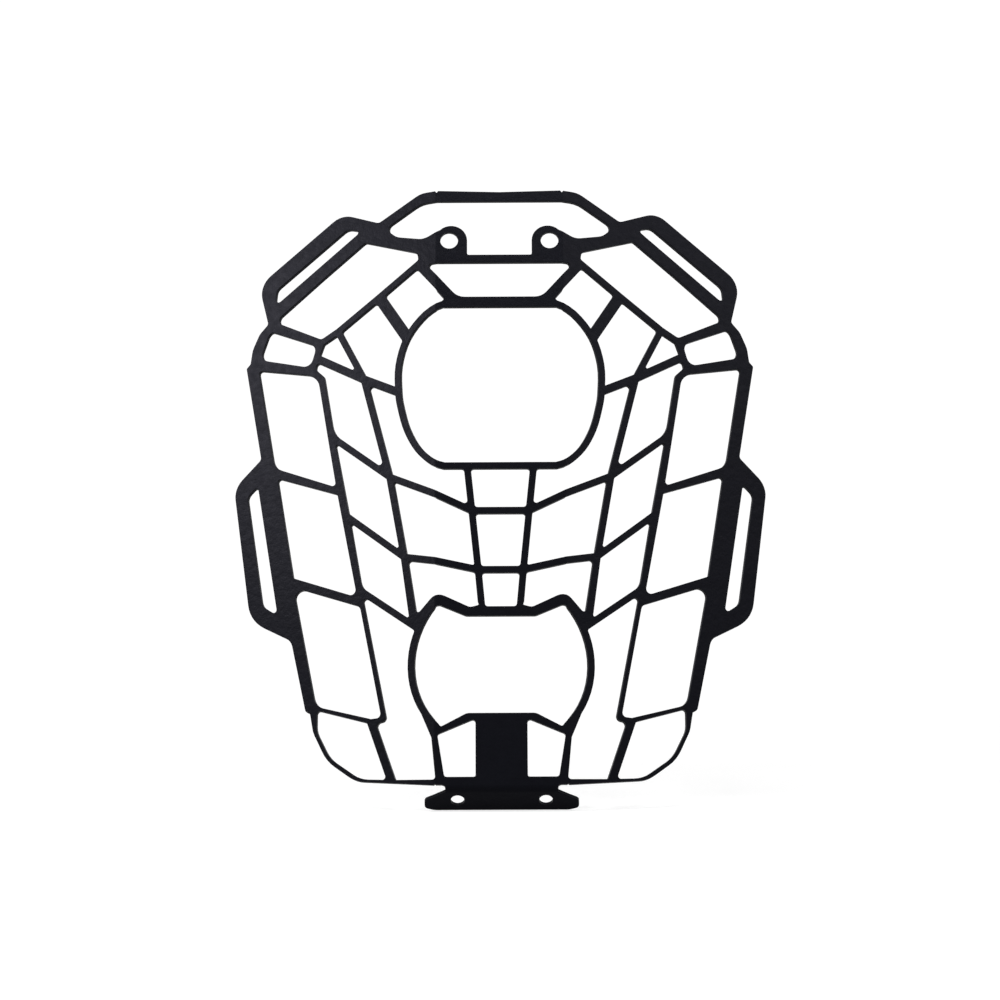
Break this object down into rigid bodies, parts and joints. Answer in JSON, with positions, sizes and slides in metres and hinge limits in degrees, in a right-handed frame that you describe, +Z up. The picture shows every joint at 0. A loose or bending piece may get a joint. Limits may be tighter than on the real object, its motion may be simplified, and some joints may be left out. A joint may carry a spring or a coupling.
{
  "type": "motorcycle headlight guard",
  "caption": "Headlight guard for a motorcycle: a folded, laser-cut steel lattice with an opening for each lamp, tabs at the top and a flange at the foot.",
  "frame": {"origin": "back face of the sheet, in the middle of the brow bar that carries the two upper tabs", "axes": "+Z up as mounted, -Y to the front of the bike, +X to the right seen from the front"},
  "size_m": [0.272, 0.129, 0.3107],
  "materials": {
    "powder_coat": "satin black powder coat, fine texture"
  },
  "bodies": {
    "root": {"headlight_guard": "powder_coat"}
  },
  "joints": []
}
